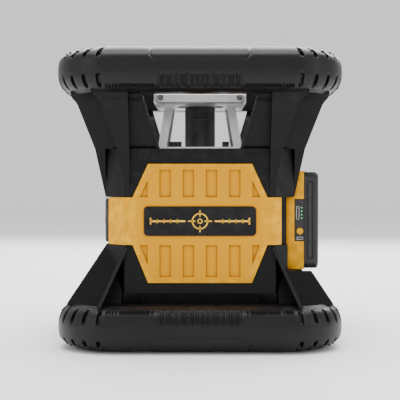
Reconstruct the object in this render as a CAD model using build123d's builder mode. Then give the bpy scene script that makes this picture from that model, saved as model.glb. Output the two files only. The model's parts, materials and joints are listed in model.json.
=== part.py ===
"""Rotating laser level: a self-levelling rotary laser in a black roll cage with rubber bumper rings.

Millimetres, +Z up.  X runs to the battery side, -Y is the front (yellow panel), the origin is the
centre of the footprint on the surface that the lower bumper stands on.
"""

import math
import os

from build123d import *

os.makedirs("parts", exist_ok=True)

# ---------------------------------------------------------------- driving dimensions
total_height = 224.0
ring_half = 107.5          # half width of the square bumper rings
ring_corner = 46.0         # plan radius of the bumper's outer corners
ring_height = 34.0
core_half = 100.0          # rigid ring inside the bumper
core_inner_half = 78.0
core_cap = 5.0             # rubber over the core's open face
core_wall = 3.5            # the core is a channel, open under the rubber
core_lip = 4.0             # bevel along the core's outer edge, nearest the body
bumper_slots = 5           # grip slots at each corner, on each shoulder
slot_width = 3.2

body_half = 72.0           # flat sides of the body
body_chamfer = 15.0        # how much of each side the corner chamfers take
body_top = 150.0
body_bottom = 41.0
body_wall = 3.5
split_height = 95.0        # upper and lower cage mouldings meet here
deck_thickness = 4.0
deck_hole_radius = 20.0    # the laser barrel tilts inside it

flange_inset = 4.5         # inboard edge of a strut's front flange, in from the chamfer
flange_recess = 11.0       # how far a strut's web lies behind its flange
strut_flare = 4.5          # the struts widen by this where they run into the ring
flare_height = 8.0
web_thickness = 3.2
lip_width = 2.2
lip_height = 2.6
upper_foot = 113.5         # where the upper struts leave the body
upper_foot_proud = 0.0     # the flanges start flush with the body's sides
upper_deck_proud = 7.8     # and lean out to this at the deck
upper_foot_width = 1.8     # width of the flange at its foot
upper_deck_width = 9.5     # and at the deck
upper_tip_reach = 94.5     # at the underside of the upper ring
upper_tip_edge = 75.0
window_lip_foot = 30.3     # half width of the opening between the struts at the deck
window_lip_tip = 42.7      # and at the ring
lower_foot = 77.0
lower_tip_reach = 99.6
lower_foot_inset = 1.0     # the fins leave the body this far inside the chamfer
lower_tip_edge = 74.5
fin_thickness = 2.8

pedestal_step = 12.0       # the pedestal is this much inside the body's sides
floor_bottom = 10.0
floor_thickness = 4.0

band_top = 113.5           # the yellow band round the body
band_bottom = 77.3
band_recess = 5.6          # how far the black wall lies behind the band
panel_proud = 1.2          # the front and rear panels stand out from the body
panel_right_end = 10.4     # the panels stop this far inside the battery side
band_thickness = 3.4
panel_top = 138.4
panel_bottom = 49.0
panel_top_inset = 18.0     # the panel's top and bottom edges end this far inside the chamfer
panel_band_inset = 6.5     # and its slopes meet the band this far inside it
panel_thickness = 3.0
panel_gap = 0.25
pocket_depth = 1.2         # sunken fields above and below the band
pocket_margin = 4.6
bar_width = 9.0            # raised bars in the fields
bar_pitch = 17.4
bar_count = 5
badge_length = 84.0
badge_height = 22.0
badge_thickness = 0.8

bay_depth = 16.2           # opening in the body for the battery bay
bay_half_depth = 50.3
bay_shoulder = 5.4         # the body steps in by this much in front of the bay
bay_half_height = 38.2
way_out_step = 5.6         # the pack leaves to the rear outside this step
bay_gap = 0.25
bay_wall = 3.2
bay_proud = 8.3            # the bay's rim stands out from the body
bay_front_wall = 3.6
gauge_half_height = 16.3   # cut-out in the bay's front wall for the pack's gauge
gauge_depth = 7.3          # the cut-out's depth from the bay's rim
slide_gap = 0.5
pack_rear = 60.0
plate_half_height = 37.5   # the pack's outer, wider part
plate_thickness = 11.0
plate_front = -50.0
plate_rear = 62.0
cover_thickness = 3.0
pack_wall = 1.5
cell_radius = 9.1
cell_half_length = 32.3
cell_gap = 0.6

boss_inset = 16.0          # screws that join the cage halves, in from the body's sides
boss_radius = 5.5
cage_screw_radius = 2.0
insert_bore = 6.7          # 5/8-11 tripod thread
insert_radius = 11.0
insert_flange = 14.0
base_plate_radius = 42.0
base_screw_circle = 34.0
base_low = 4.0             # underside of the base plate, above the ground
base_thread = 13.5

upper_ring_bottom = total_height - ring_height
body_middle = (body_top + body_bottom) / 2
body_flat_half = body_half - body_chamfer
pedestal_half = body_half - pedestal_step
band_recess_half = body_half - band_recess
band_recess_flat_half = body_flat_half - 3.5
panel_front = body_half + panel_proud
panel_flat_half = body_flat_half - 0.5
panel_stop = body_half - panel_right_end
panel_half_top = body_flat_half - panel_top_inset
panel_half_band = body_flat_half - panel_band_inset
side_face = band_recess_half + band_thickness
flange_inner = body_flat_half - flange_inset
upper_foot_edge = flange_inner + upper_foot_width
upper_deck_edge = flange_inner + upper_deck_width
lower_foot_edge = body_flat_half - lower_foot_inset
upper_foot_reach = body_half + upper_foot_proud
upper_deck_reach = body_half + upper_deck_proud
bay_back = body_half - bay_depth
way_out_back = bay_back + way_out_step
bay_rim = body_half + bay_proud
gauge_inner = bay_rim - gauge_depth
boss_place = body_half - boss_inset


def finish(shape, name):
    """Labels a finished piece and writes its STEP file."""
    shape.label = name
    export_step(shape, f"parts/{name}.step")
    return shape


def between(low, high, value, at_low, at_high):
    """Straight-line value between two heights."""
    return at_low + (at_high - at_low) * (value - low) / (high - low)


def outline(points):
    """A closed straight-sided face in the current sketch."""
    return Polygon(*points, align=None)


def octagon(half, flat_half):
    """Corner points of a square with chamfered corners."""
    return [
        (half, -flat_half), (half, flat_half), (flat_half, half), (-flat_half, half),
        (-half, flat_half), (-half, -flat_half), (-flat_half, -half), (flat_half, -half),
    ]


def four_corners(solid):
    """A piece made in the +X +Y corner, repeated by mirroring at all four corners."""
    pair = solid + mirror(solid, Plane.YZ)
    return pair + mirror(pair, Plane.XZ)


def across_diagonal(points):
    """Plan points mirrored across the +X +Y diagonal."""
    return [(y, x) for x, y in points]


# ---------------------------------------------------------------- bumper rings
def ring_path(half, corner, height):
    """Closed rounded-square path at one height."""
    with BuildSketch(Plane.XY.offset(height)) as plan:
        RectangleRounded(2 * half, 2 * half, corner)
    return plan.sketch.face().outer_wire()


def swept_ring(profile_points, path_half, path_corner, round_radii):
    """Sweeps a profile given as (distance from centre, height) round the ring's plan."""
    path = ring_path(path_half, path_corner, 0)
    with BuildPart() as ring:
        with BuildSketch(Plane.XZ) as profile:
            outline(profile_points)
            for corner, radius in round_radii:
                fillet(profile.vertices().sort_by_distance((*corner, 0))[0], radius)
        sweep(path=path)
    return ring.part


def bumper_profile():
    """The rubber's section on the upper ring: a hook over the core's outer and top faces."""
    top = total_height
    low = upper_ring_bottom
    return [
        (core_half, low + core_lip / 2), (ring_half - 4.0, low + 5.5),
        (ring_half, low + 12.5), (ring_half, low + 22.5),
        (ring_half - 3.5, low + 28.0), (ring_half - 15.5, top),
        (core_inner_half + 4.0, top), (core_inner_half, top - 3.0),
        (core_inner_half, top - core_cap), (core_half, top - core_cap),
    ]


def corner_slots():
    """Cutters for the grip slots round each corner of the upper bumper."""
    centre = ring_half - ring_corner
    step = 60.0 / (bumper_slots - 1)
    cutters = []
    for corner_x, corner_y, turn in ((1, 1, 0), (-1, 1, 90), (-1, -1, 180), (1, -1, 270)):
        for index in range(bumper_slots):
            angle = turn + 15.0 + step * index
            for height, tilt in ((total_height - 6.0, -38.0), (upper_ring_bottom + 6.5, 48.0)):
                place = (Pos(corner_x * centre, corner_y * centre, height)
                         * Rot(0, 0, angle) * Pos(ring_corner - 3.6, 0, 0) * Rot(0, tilt, 0))
                cutters.append(place * Box(4.6, slot_width, 11.0))
    return cutters


def make_bumper():
    """The upper bumper, with its corner slots."""
    shoulder = 5.0
    rounds = [
        ((ring_half - 4.0, upper_ring_bottom + 5.5), shoulder),
        ((ring_half, upper_ring_bottom + 12.5), shoulder),
        ((ring_half, upper_ring_bottom + 22.5), shoulder),
        ((ring_half - 3.5, upper_ring_bottom + 28.0), 4.0),
        ((ring_half - 15.5, total_height), 8.0),
    ]
    ring = swept_ring(bumper_profile(), ring_half, ring_corner, rounds)
    return ring - corner_slots()


def make_core():
    """The rigid channel ring inside the upper bumper."""
    low = upper_ring_bottom
    rim = total_height - core_cap
    floor = low + core_wall + 0.5
    profile = [
        (core_inner_half, low), (core_half - core_lip, low), (core_half, low + core_lip / 2),
        (core_half, rim), (core_half - core_wall, rim), (core_half - core_wall, floor),
        (core_inner_half + core_wall, floor), (core_inner_half + core_wall, rim),
        (core_inner_half, rim),
    ]
    corner = ring_corner - (ring_half - core_half)
    return swept_ring(profile, core_half, corner, [])


upper_bumper = make_bumper()
lower_bumper = mirror(upper_bumper, Plane.XY.offset(total_height / 2))
upper_core = make_core()
lower_core = mirror(upper_core, Plane.XY.offset(total_height / 2))
finish(upper_bumper, "top_bumper")
finish(lower_bumper, "bottom_bumper")


# ---------------------------------------------------------------- roll cage
def prism(points, low, high):
    """A straight prism over plan points."""
    with BuildPart() as solid:
        with BuildSketch(Plane.XY.offset(low)):
            outline(points)
        extrude(amount=high - low)
    return solid.part


def tapered(low_points, low, high_points, high):
    """A straight-sided loft between two plan outlines with the same number of points."""
    with BuildPart() as solid:
        with BuildSketch(Plane.XY.offset(low)):
            outline(low_points)
        with BuildSketch(Plane.XY.offset(high)):
            outline(high_points)
        loft(ruled=True)
    return solid.part


def upper_strut_outline(reach, edge, lip):
    """Plan of one upper corner strut: two proud flanges, a notched corner and recessed webs."""
    web = reach - flange_recess
    back = web - web_thickness
    half = [
        (lip, back), (lip, web + lip_height), (lip + lip_width, web + lip_height),
        (lip + lip_width, web), (flange_inner, web), (flange_inner, reach), (edge, reach),
    ]
    inside = edge - web_thickness
    return (half + [(edge, edge)] + across_diagonal(half)[::-1]
            + [(back, inside), (inside, inside), (inside, back)])


def make_upper_struts():
    """The four corner struts that stand on the deck and carry the upper ring."""
    def at(height):
        reach = between(body_top, upper_ring_bottom, height, upper_deck_reach, upper_tip_reach)
        edge = between(body_top, upper_ring_bottom, height, upper_deck_edge, upper_tip_edge)
        lip = between(body_top, upper_ring_bottom, height, window_lip_foot, window_lip_tip)
        return reach, edge, lip

    tip = upper_ring_bottom + core_wall / 2
    waist = upper_ring_bottom - flare_height
    low_outline, waist_outline = upper_strut_outline(*at(body_top)), upper_strut_outline(*at(waist))
    main = tapered(low_outline, body_top, waist_outline, waist)
    below = waist
    for share in (0.3, 0.65, 1.0):
        height = waist + share * (upper_ring_bottom - waist)
        reach, edge, lip = at(height)
        extra = strut_flare * share ** 2
        wider = upper_strut_outline(min(reach + extra, core_half - core_lip), edge + extra, lip)
        main += tapered(waist_outline, below, wider, height)
        waist_outline, below = wider, height
    main += prism(waist_outline, below, tip)

    def flange(reach, edge):
        return [(flange_inner, body_half), (flange_inner, reach + 0.4), (edge, reach + 0.4),
                (edge, body_half)]

    low = flange(upper_foot_reach, upper_foot_edge)
    high = flange(upper_deck_reach - 0.4, upper_deck_edge)
    front = tapered(low, upper_foot, high, body_top)
    side = tapered(across_diagonal(low)[::-1], upper_foot, across_diagonal(high)[::-1], body_top)
    return four_corners(main + front + side)


def make_lower_fins():
    """The crossed fins at each corner between the body and the lower ring."""
    ring_top = ring_height
    into_ring = ring_top - core_wall / 2
    start = pedestal_half - 1.0

    def fin(reach, edge):
        return [(edge - fin_thickness, start), (edge - fin_thickness, reach),
                (edge, reach), (edge, start)]

    top = fin(body_half, lower_foot_edge)
    foot = fin(lower_tip_reach, lower_tip_edge)
    front = tapered(foot, ring_top, top, lower_foot) + prism(foot, into_ring, ring_top)
    side_top, side_foot = across_diagonal(top)[::-1], across_diagonal(foot)[::-1]
    side = (tapered(side_foot, ring_top, side_top, lower_foot)
            + prism(side_foot, into_ring, ring_top))
    return four_corners(front + side)


def panel_outline(grow=0.0):
    """Front outline of a yellow panel's flat part, as (x, z), grown all round."""
    slope = math.atan2(panel_half_band - panel_half_top, panel_top - band_top)
    side = grow / math.cos(slope)
    top, low = panel_top + grow, panel_bottom - grow
    half_top = panel_half_top + side - grow * math.tan(slope)
    half_band = panel_half_band + side
    return [
        (-half_top, top), (half_top, top), (half_band, band_top), (half_band, band_bottom),
        (half_top, low), (-half_top, low), (-half_band, band_bottom), (-half_band, band_top),
    ]


def front_plate(points, outer, inner):
    """A plate parallel to the front, between two distances from the middle."""
    with BuildPart() as plate:
        with BuildSketch(Plane.XZ.offset(inner)):
            outline(points)
        extrude(amount=outer - inner)
    return plate.part


def both_faces(solid):
    """A piece on the front, repeated on the rear."""
    return solid + mirror(solid, Plane.XZ)


def body_block():
    """The body's outer form with its recesses for the yellow panels, and its hollow inside."""
    block = prism(octagon(body_half, body_flat_half), body_bottom, body_top)
    around = prism(octagon(body_half + 9.0, body_flat_half + 9.0), band_bottom, band_top)
    band = around - prism(octagon(band_recess_half, band_recess_flat_half),
                          band_bottom, band_top)
    seat = panel_front - panel_thickness
    pockets = both_faces(front_plate(panel_outline(panel_gap), panel_front, seat))
    wide = octagon(body_half - body_wall, body_flat_half - body_wall * 0.414)
    battery_side = Pos(band_recess_half - body_wall + ring_half, 0, body_middle) * Box(
        2 * ring_half, 2 * ring_half, body_top)
    narrow = octagon(band_recess_half - body_wall,
                     band_recess_flat_half - body_wall * 0.414)
    inside = (prism(wide, body_bottom + body_wall, band_bottom - body_wall)
              + prism(narrow, band_bottom - body_wall, band_top + body_wall)
              + prism(wide, band_top + body_wall, body_top - deck_thickness))
    return block - band - pockets - (inside - battery_side)


def battery_path():
    """The opening for the battery bay, and the way out for the sliding pack."""
    width = ring_half - bay_back
    bay = Pos(bay_back + width / 2, 0, body_middle) * Box(
        width, 2 * bay_half_depth, 2 * bay_half_height)
    out_width = ring_half - way_out_back
    shoulder_low = body_middle - bay_half_height
    shoulder = Pos(body_half - bay_shoulder + ring_half / 2, -bay_half_depth,
                   (shoulder_low + band_top) / 2) * Box(
        ring_half, 2 * (body_chamfer + 6.7), band_top - shoulder_low)
    way_out = Pos(way_out_back + out_width / 2, ring_half / 2, body_middle) * Box(
        out_width, ring_half, 2 * bay_half_height)
    return bay + way_out + shoulder


def corner_places(reach):
    """Four places at the same distance from both middle planes."""
    return [(reach, reach), (-reach, reach), (-reach, -reach), (reach, -reach)]


def at_corners(reach, radius, low, high):
    """Four upright cylinders, one near each corner of the body."""
    with BuildPart() as pins:
        with BuildSketch(Plane.XY.offset(low)):
            with Locations(*corner_places(reach)):
                Circle(radius)
        extrude(amount=high - low)
    return pins.part


def make_upper_cage():
    """Upper half of the body with its deck."""
    cage = body_block() & prism(octagon(ring_half, ring_half - 1), split_height, body_top)
    cage += at_corners(boss_place, boss_radius, split_height, band_top)
    hole = Pos(0, 0, body_top) * Cylinder(deck_hole_radius, 3 * deck_thickness)
    screws = at_corners(boss_place, cage_screw_radius + 0.1, split_height, band_top - 2.0)
    frame_screws = at_corners(frame_screw_place, frame_screw_radius + 0.2,
                              body_top - 6, body_top)
    return cage - hole - screws - frame_screws - rear_insert_hole() - battery_path()


def make_roll_cage():
    """The flared struts and the rigid core of the upper ring."""
    return make_upper_struts() + upper_core - battery_path()


def make_lower_cage():
    """Lower half of the body, its pedestal, the floor web, the fins and the lower core ring."""
    block = body_block() & prism(octagon(ring_half, ring_half - 1), body_bottom, split_height)
    pedestal_flat = pedestal_half - (body_half - body_flat_half)
    well_outline = octagon(pedestal_half - body_wall, pedestal_flat - body_wall * 0.414)
    pedestal = prism(octagon(pedestal_half, pedestal_flat), floor_bottom, body_bottom)
    web_reach = core_inner_half + core_wall / 2
    with BuildPart() as web:
        with BuildSketch(Plane.XY.offset(floor_bottom)):
            RectangleRounded(2 * web_reach, 2 * web_reach,
                             ring_corner - (ring_half - core_inner_half))
        extrude(amount=floor_thickness)
    cage = block + pedestal + web.part + make_lower_fins() + lower_core
    cage += at_corners(boss_place, boss_radius, body_bottom, split_height)
    well = prism(well_outline, floor_bottom + floor_thickness, body_bottom + body_wall)
    tunnels = at_corners(boss_place, 2 * cage_screw_radius, floor_bottom, cage_screw_seat)
    shanks = at_corners(boss_place, cage_screw_radius + 0.1, cage_screw_seat, split_height)
    base = Pos(0, 0, floor_bottom) * Cylinder(insert_radius + 0.1, 4 * floor_thickness)
    with BuildPart() as base_holes:
        with BuildSketch(Plane.XY.offset(floor_bottom)):
            with PolarLocations(base_screw_circle, 4, start_angle=45):
                Circle(base_screw_radius + 0.1)
        extrude(amount=floor_thickness)
    return (cage - well - tunnels - shanks - base - base_holes.part
            - rear_insert_hole() - battery_path())


def rear_insert_hole():
    """Round hole through the rear wall for the side mounting thread."""
    return Pos(0, body_half, body_middle) * Rot(90, 0, 0) * Cylinder(
        insert_radius + 0.1, 3 * (body_half - band_recess_half + body_wall))


cage_screw_seat = 80.0
frame_screw_place = 30.0
frame_screw_radius = 1.4
base_screw_radius = 2.0
upper_cage = make_upper_cage()
lower_cage = make_lower_cage()
finish(upper_cage, "upper_cage")
roll_cage = make_roll_cage()
finish(roll_cage, "roll_cage")
finish(lower_cage, "lower_cage")


# ---------------------------------------------------------------- yellow panels
def field(low, high, half_low, half_high):
    """One sunken field of a panel and the bars that stand in it, as front outlines."""
    frame = [(-half_low, low), (half_low, low), (half_high, high), (-half_high, high)]
    bars = [index - (bar_count - 1) / 2 for index in range(bar_count)]
    return frame, [bar * bar_pitch for bar in bars]


def make_front_panel():
    """The yellow front panel: band, wings on the chamfers, and two barred fields."""
    seat = panel_front - panel_thickness
    flat = front_plate(panel_outline(), panel_front, seat)
    chamfer_sum = band_recess_half + band_recess_flat_half
    inner_end = panel_stop - 3.0
    plan = [
        (-side_face, -panel_flat_half - 2.0), (-panel_flat_half, -panel_front),
        (panel_flat_half, -panel_front), (panel_stop, -panel_front + 5.6),
        (inner_end, inner_end - chamfer_sum), (band_recess_flat_half, -band_recess_half),
        (-band_recess_flat_half, -band_recess_half), (-band_recess_half, -band_recess_flat_half),
        (-side_face, -band_recess_flat_half),
    ]
    band = prism(plan, band_bottom + panel_gap, band_top - panel_gap)
    sunk = panel_front - pocket_depth
    slope = (panel_half_band - panel_half_top) / (panel_top - band_top)
    panel = flat + band
    for sign, edge, base in ((1, panel_top, band_top), (-1, panel_bottom, band_bottom)):
        outer = edge - sign * pocket_margin
        half_outer = panel_half_top + slope * pocket_margin - pocket_margin * 1.2
        half_base = panel_half_band - pocket_margin * 1.2
        low, high = sorted((outer, base))
        halves = (half_base, half_outer) if sign > 0 else (half_outer, half_base)
        frame, bars = field(low, high, *halves)
        pocket = front_plate(frame, panel_front + 1.0, sunk)
        for bar in bars:
            pocket -= Pos(bar, -panel_front, (low + high) / 2) * Box(
                bar_width, 4 * pocket_depth, high - low + 1.0)
        panel -= pocket
    return panel


front_panel = make_front_panel()
finish(front_panel, "front_panel")
rear_panel = mirror(front_panel, Plane.XZ) - rear_insert_hole()
finish(rear_panel, "rear_panel")

with BuildPart() as left_band:
    with BuildSketch(Plane.YZ.offset(-side_face)):
        with Locations((0, (band_top + band_bottom) / 2)):
            Rectangle(2 * (band_recess_flat_half - panel_gap),
                      band_top - band_bottom - 2 * panel_gap)
    extrude(amount=side_face - band_recess_half)
finish(left_band.part, "left_band")

with BuildPart() as badge_plate:
    with BuildSketch(Plane.XZ.offset(panel_front)):
        with Locations((0, (band_top + band_bottom) / 2)):
            RectangleRounded(badge_length, badge_height, 3.0)
    extrude(amount=badge_thickness)
finish(badge_plate.part, "badge_plate")


# ---------------------------------------------------------------- battery bay and pack
bay_outer = bay_half_height - bay_gap
bay_inner = bay_outer - bay_wall
bay_face = bay_back + bay_gap            # back of the bay
bay_floor = bay_face + bay_front_wall    # what the pack's contacts face
bay_end = bay_half_depth - bay_gap
rail_low = bay_floor + 6.35
rail_high = rail_low + 3.0
rail_rise = 1.9
block_half = bay_inner - slide_gap
block_inner = bay_floor + 2.2
block_front = -(bay_end - bay_front_wall) + slide_gap
plate_inner = bay_rim + 0.3


def span_box(x_span, y_span, z_span):
    """A box between two limits on each axis."""
    (x0, x1), (y0, y1), (z0, z1) = x_span, y_span, z_span
    middle = Pos((x0 + x1) / 2, (y0 + y1) / 2, (z0 + z1) / 2)
    return middle * Box(x1 - x0, y1 - y0, z1 - z0, mode=Mode.PRIVATE)


def about(half):
    """Height limits centred on the body."""
    return body_middle - half, body_middle + half


with BuildPart() as battery_bay:
    with BuildSketch(Plane.YZ.offset(bay_face)):
        with Locations((0, body_middle)):
            Rectangle(2 * bay_end, 2 * bay_outer)
    extrude(amount=bay_rim - bay_face)
    with BuildSketch(Plane.YZ.offset(bay_floor)):
        with Locations((bay_front_wall, body_middle)):
            Rectangle(2 * bay_end, 2 * bay_inner)
    extrude(amount=bay_rim - bay_floor, mode=Mode.SUBTRACT)
    with BuildSketch(Plane.YZ.offset(rail_low - 0.4)):
        with Locations((bay_front_wall, body_middle)):
            Rectangle(2 * bay_end, 2 * (bay_inner + rail_rise - 0.1))
    extrude(amount=rail_high - rail_low + 0.8, mode=Mode.SUBTRACT)
    with BuildSketch(Plane.YZ.offset(gauge_inner)):
        with Locations((-bay_end, body_middle)):
            Rectangle(4 * bay_front_wall, 2 * gauge_half_height)
    extrude(amount=bay_rim - gauge_inner, mode=Mode.SUBTRACT)
finish(battery_bay.part, "battery_bay")

terminal_length = (14.0, 40.0)
with BuildPart() as terminal_block:
    add(span_box((bay_floor, bay_floor + 2.4), terminal_length, about(12.0)))
    for height in (-8.0, -2.7, 2.7, 8.0):
        add(span_box((bay_floor + 2.4, bay_floor + 5.0), (16.0, 38.0),
                     (body_middle + height - 0.5, body_middle + height + 0.5)))
finish(terminal_block.part, "terminal_block")

plate_outer = plate_inner + plate_thickness
case_outer = plate_outer - cover_thickness
cell_room = block_inner + 4.6
cell_distance = (cell_room + case_outer) / 2
cell_pitch = 2 * cell_radius + cell_gap
hollow_front, hollow_rear = block_front + 3.0, pack_rear - 2.5
cell_count = int((hollow_rear - hollow_front + cell_gap) // cell_pitch)
pack_block = span_box((block_inner, plate_inner), (block_front, pack_rear), about(block_half))
pack_plate = span_box((plate_inner, case_outer), (plate_front, plate_rear),
                      about(plate_half_height))
pack_nose = span_box((gauge_inner + 0.4, plate_inner), (plate_front + 0.6, block_front),
                     about(gauge_half_height - 0.4))
pack_rails = span_box((rail_low, rail_high), (block_front, pack_rear),
                      about(block_half + rail_rise))
pack_plate = fillet(pack_plate.edges().filter_by(Axis.X), 6.0)
pack_hollow = span_box((cell_room, case_outer), (hollow_front, hollow_rear),
                       about(block_half - pack_wall))
contact_channel = span_box((block_inner - 1, block_inner + 3.2),
                           (block_front - 1, terminal_length[1] + 1.0), about(12.8))
latch_half_height = 10.0
latch_low, latch_high = plate_inner + 1.8, case_outer - 1.4
latch_pocket = span_box((latch_low - 0.3, latch_high + 0.3), (plate_rear - 3.2, plate_rear + 1),
                        about(latch_half_height + 0.3))
end_groove = span_box((plate_inner + 1.6, case_outer - 1.2), (plate_front - 1, plate_front + 1.2), about(30.0))
end_groove -= span_box((plate_inner + 3.0, case_outer - 2.6), (plate_front - 1, plate_front + 1.2), about(28.6))
gauge_place = Pos(gauge_inner + 4.2, plate_front + 0.6, body_middle - 8.5) * Rot(90, 0, 0)
pack_case = (pack_block + pack_plate + pack_nose + pack_rails - pack_hollow - contact_channel
             - latch_pocket - end_groove - gauge_place * Cylinder(2.9, 5.6))
finish(pack_case, "pack_case")

with BuildPart() as pack_cover:
    with BuildSketch(Plane.YZ.offset(case_outer)):
        with Locations(((plate_front + plate_rear) / 2, body_middle)):
            RectangleRounded(plate_rear - plate_front, 2 * plate_half_height, 6.0)
    extrude(amount=cover_thickness)
    fillet(pack_cover.faces().sort_by(Axis.X)[-1].edges(), 2.2)
finish(pack_cover.part, "pack_cover")

first_cell = (hollow_front + hollow_rear) / 2 - cell_pitch * (cell_count - 1) / 2
with BuildPart() as cells:
    with BuildSketch(Plane.XY.offset(body_middle - cell_half_length)):
        with Locations(*[(cell_distance, first_cell + cell_pitch * n) for n in range(cell_count)]):
            Circle(cell_radius)
    extrude(amount=2 * cell_half_length)
finish(cells.part, "cells")

with BuildPart() as pack_latch:
    add(span_box((latch_low, latch_high), (plate_rear - 1.6, plate_rear + 1.4),
                 about(latch_half_height)))
    fillet(pack_latch.faces().sort_by(Axis.Y)[-1].edges(), 0.8)
finish(pack_latch.part, "pack_latch")

gauge_button = gauge_place * Pos(0, 0, -0.6) * Cylinder(2.6, 2.4)
gauge_button.label = "gauge_button"
finish(gauge_button, "gauge_button")


# ---------------------------------------------------------------- lighthouse
gasket_thickness = 0.8
frame_base = body_top + gasket_thickness
frame_foot_half, frame_head_half = 33.5, 27.6
frame_wall = 2.4
sill = 2.0                     # base rail under the windows
head_bottom, head_top = 186.8, 195.5
head_half = 36.6
window_foot, window_head = 26.5, 21.0
glass_thickness = 2.0
head_recess_radius = 19.0
top_bore = 11.0
top_glass_radius = 13.5
frame_slope = (frame_foot_half - frame_head_half) / (head_bottom - frame_base)


def square_loft(low_half, low, high_half, high):
    """Solid between two squares."""
    def square(half):
        return [(half, half), (-half, half), (-half, -half), (half, -half)]
    return tapered(square(low_half), low, square(high_half), high)


def window_opening():
    """Trapezoid cutter for one window, pointing to the front."""
    low, high = frame_base + sill, head_bottom
    points = [(-window_foot, low), (window_foot, low), (window_head, high), (-window_head, high)]
    return front_plate(points, frame_foot_half + 2, 10.0)


def four_sides(solid):
    """A piece made at the front, repeated on all four sides."""
    return [Rot(0, 0, 90 * turn) * solid for turn in range(4)]


frame_body = square_loft(frame_foot_half, frame_base, frame_head_half, head_bottom)
frame_inside = square_loft(frame_foot_half - frame_wall, frame_base,
                           frame_head_half - frame_wall, head_bottom)
with BuildPart() as frame_head:
    with BuildSketch(Plane.XY.offset(head_bottom)):
        RectangleRounded(2 * head_half, 2 * head_half, 5.0)
    extrude(amount=head_top - head_bottom)
    chamfer(frame_head.edges().group_by(Axis.Z)[-1], 1.8)
    chamfer(frame_head.edges().group_by(Axis.Z)[0], 1.2)
    with BuildSketch(Plane.XY.offset(head_bottom)):
        Circle(head_recess_radius)
    extrude(amount=4.2, mode=Mode.SUBTRACT)
    with BuildSketch(Plane.XY.offset(head_bottom)):
        Circle(top_bore)
    extrude(amount=head_top - head_bottom, mode=Mode.SUBTRACT)
    with BuildSketch(Plane.XY.offset(head_top - 2.4)):
        Circle(top_glass_radius + 0.1)
    extrude(amount=2.4, mode=Mode.SUBTRACT)
    for side in range(4):
        with BuildSketch(Plane.XZ.rotated((0, 0, 90 * side)).offset(head_half - 3.5)):
            with Locations((-31.0, 191.2), (31.0, 191.2)):
                Circle(2.3)
        extrude(amount=3.5, mode=Mode.SUBTRACT)
glass_margin = 1.0
foot_inner = window_foot + glass_margin + 0.3
corner_feet = Part() + [
    span_box(sorted((side_x * foot_inner, side_x * frame_foot_half)),
             sorted((side_y * foot_inner, side_y * frame_foot_half)), (frame_base, frame_base + 7))
    for side_x, side_y in corner_places(1)]
lighthouse_frame = frame_body - frame_inside - four_sides(window_opening())
lighthouse_frame = lighthouse_frame + frame_head.part + (corner_feet & frame_body)
lighthouse_frame -= at_corners(frame_screw_place, frame_screw_radius + 0.1,
                               frame_base, frame_base + 5.2)
finish(lighthouse_frame, "lighthouse_frame")

with BuildPart() as lighthouse_gasket:
    with BuildSketch(Plane.XY.offset(body_top)):
        Rectangle(2 * frame_foot_half + 1.6, 2 * frame_foot_half + 1.6)
        Rectangle(2 * foot_inner - 0.4, 2 * foot_inner - 0.4, mode=Mode.SUBTRACT)
        with Locations(*corner_places(frame_screw_place)):
            Circle(frame_screw_radius + 0.2, mode=Mode.SUBTRACT)
    extrude(amount=gasket_thickness)
finish(lighthouse_gasket.part, "lighthouse_gasket")

with BuildPart() as lighthouse_screws:
    with BuildSketch(Plane.XY.offset(body_top - deck_thickness)):
        with Locations(*corner_places(frame_screw_place)):
            Circle(frame_screw_radius)
    extrude(amount=deck_thickness + gasket_thickness + 4.8)
    with BuildSketch(Plane.XY.offset(body_top - deck_thickness - 2.4)):
        with Locations(*corner_places(frame_screw_place)):
            Circle(2.8)
    extrude(amount=2.4)
finish(lighthouse_screws.part, "lighthouse_screws")


def make_glass():
    """The front pane, leaning with the frame's inner face."""
    low, high = frame_base + 0.3, head_bottom - 0.3
    foot, head = window_foot + glass_margin, window_head + glass_margin
    points = [(-foot, low), (foot, low), (head, high), (-head, high)]
    blank = front_plate(points, frame_foot_half, 10.0)
    touch = frame_foot_half - frame_wall

    def half_at(height, depth):
        return touch - depth - frame_slope * (height - frame_base)
    outer, inner = 0.02, glass_thickness
    with BuildPart() as slab:
        with BuildSketch(Plane.YZ.offset(-40)):
            outline([(-half_at(low, outer), low), (-half_at(high, outer), high),
                     (-half_at(high, inner), high), (-half_at(low, inner), low)])
        extrude(amount=80)
    return blank & slab.part


front_glass = make_glass()
for name, turn in (("front", 0), ("right", 90), ("rear", 180), ("left", 270)):
    finish(Rot(0, 0, turn) * front_glass, f"window_{name}")

with BuildPart() as top_window:
    with BuildSketch(Plane.XY.offset(head_top - 2.4)):
        Circle(top_glass_radius)
    extrude(amount=glass_thickness)
finish(top_window.part, "top_window")

with BuildPart() as top_cap:
    with BuildSketch(Plane.XY.offset(head_top)):
        Circle(18.0)
        Circle(top_bore, mode=Mode.SUBTRACT)
    extrude(amount=1.4)
    with BuildSketch(Plane.XY.offset(head_top - 0.4)):
        Circle(top_glass_radius)
        Circle(top_bore, mode=Mode.SUBTRACT)
    extrude(amount=0.4)
    chamfer(top_cap.edges().group_by(Axis.Z)[-1], 0.4)
finish(top_cap.part, "top_cap")

with BuildPart() as window_clips:
    with BuildSketch(Plane.XY.offset(body_top)):
        with Locations((-21.5, -24.0)):
            Circle(3.4)
        with Locations((-16.6, -24.4)):
            Rectangle(4.0, 4.4)
        with Locations((20.4, -24.4)):
            Rectangle(5.4, 4.4)
    extrude(amount=7.2)
finish(window_clips.part, "window_clips")

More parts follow.
